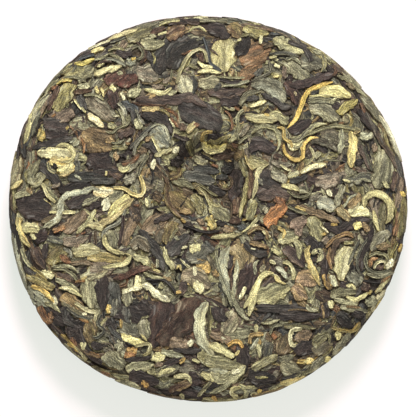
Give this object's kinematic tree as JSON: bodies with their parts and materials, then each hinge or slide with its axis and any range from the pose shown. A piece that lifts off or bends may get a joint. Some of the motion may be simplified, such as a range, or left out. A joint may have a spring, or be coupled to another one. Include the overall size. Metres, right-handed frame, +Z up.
{
  "type": "pressed tea cake",
  "caption": "Round flat cake of pressed dried tea leaves, with a shallow dimple in its top face and a flat underside.",
  "frame": {"origin": "centre of the flat underside that the cake rests on", "axes": "+Z up, out of the dimpled face; +Y away from the viewer of the picture; +X to their right"},
  "size_m": [0.1986, 0.1959, 0.0251],
  "materials": {
    "pressed_tea": "dry, matt, leaves pressed flush",
    "dark_leaf": "dry, slightly waxy, plum and slate",
    "sage_leaf": "dry, matt, grey-green",
    "straw_bud": "dry, downy, pale straw",
    "golden_stem": "dry, woody, yellow-brown",
    "brown_leaf": "dry, matt, brown to russet"
  },
  "bodies": {
    "root": {"tea_cake": "pressed_tea"}
  },
  "joints": []
}
